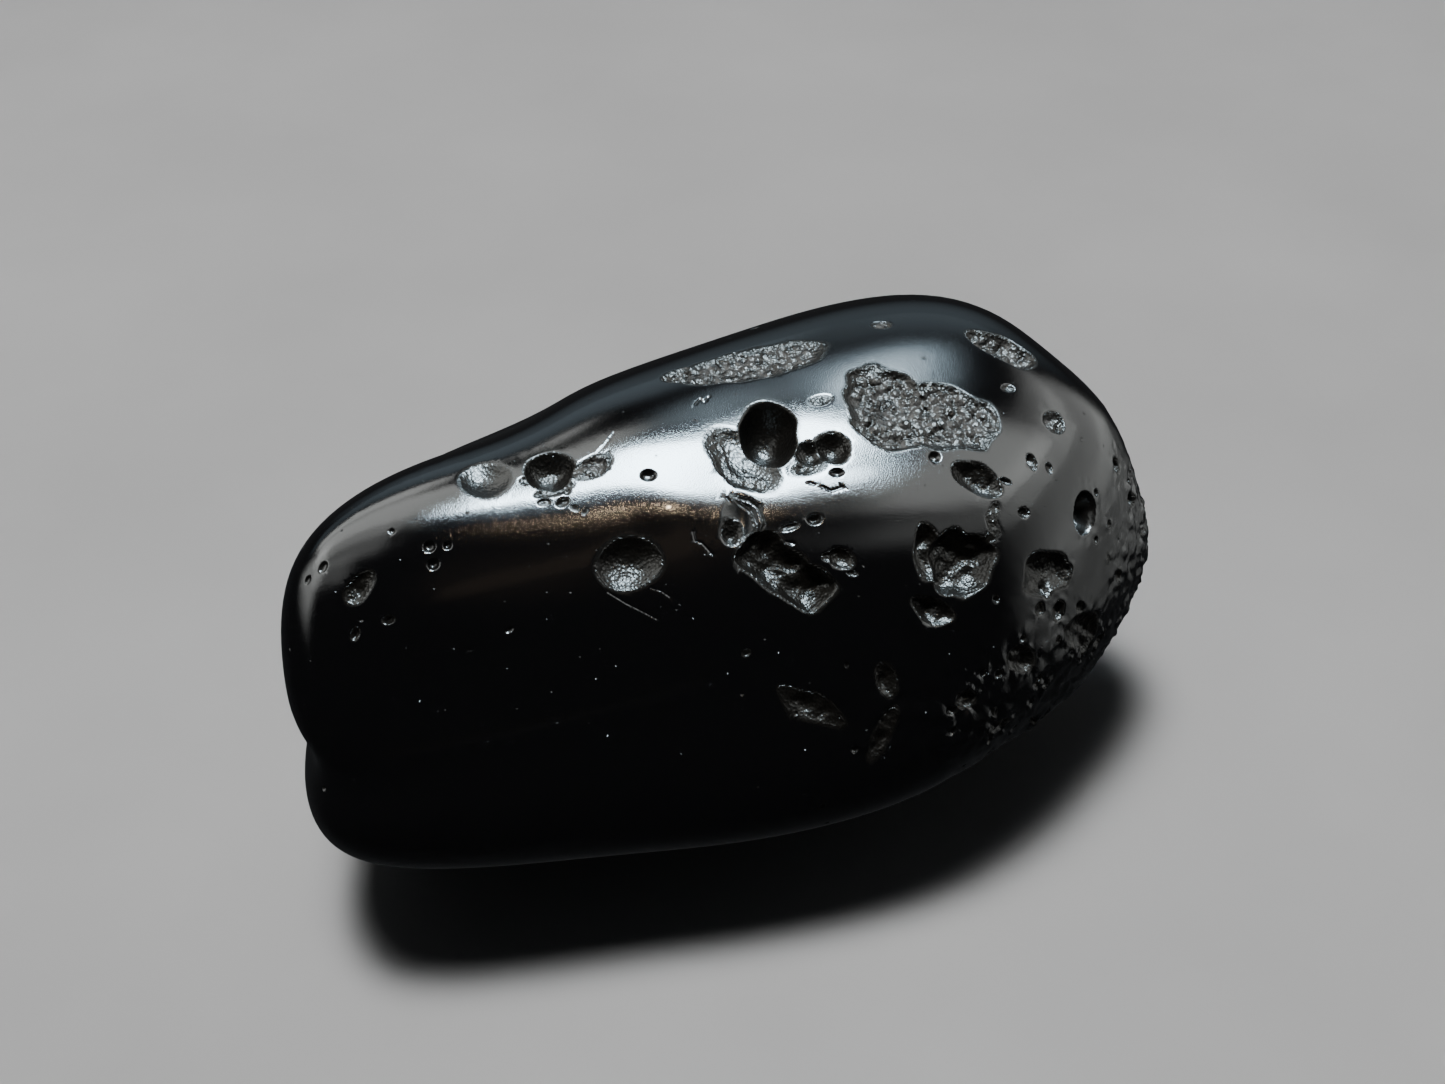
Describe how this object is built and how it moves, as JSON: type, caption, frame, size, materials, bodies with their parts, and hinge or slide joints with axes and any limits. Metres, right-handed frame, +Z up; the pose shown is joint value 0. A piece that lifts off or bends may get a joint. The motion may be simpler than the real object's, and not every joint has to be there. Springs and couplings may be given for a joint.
{
  "type": "tumbled tektite",
  "caption": "Tumble-polished pebble of opaque black natural impact glass with open gas pits and rough etched craters; lies on a small flat of its underside.",
  "frame": {"origin": "on the ground under the middle of the stone's box", "axes": "+Z up; +X along the stone towards its blunt, heavily pitted end; -Y is the broad front face"},
  "size_m": [0.031, 0.0191, 0.0169],
  "materials": {
    "tektite_glass": "opaque black natural glass, tumble-polished, with frosted pits"
  },
  "bodies": {
    "root": {"tektite": "tektite_glass"}
  },
  "joints": []
}
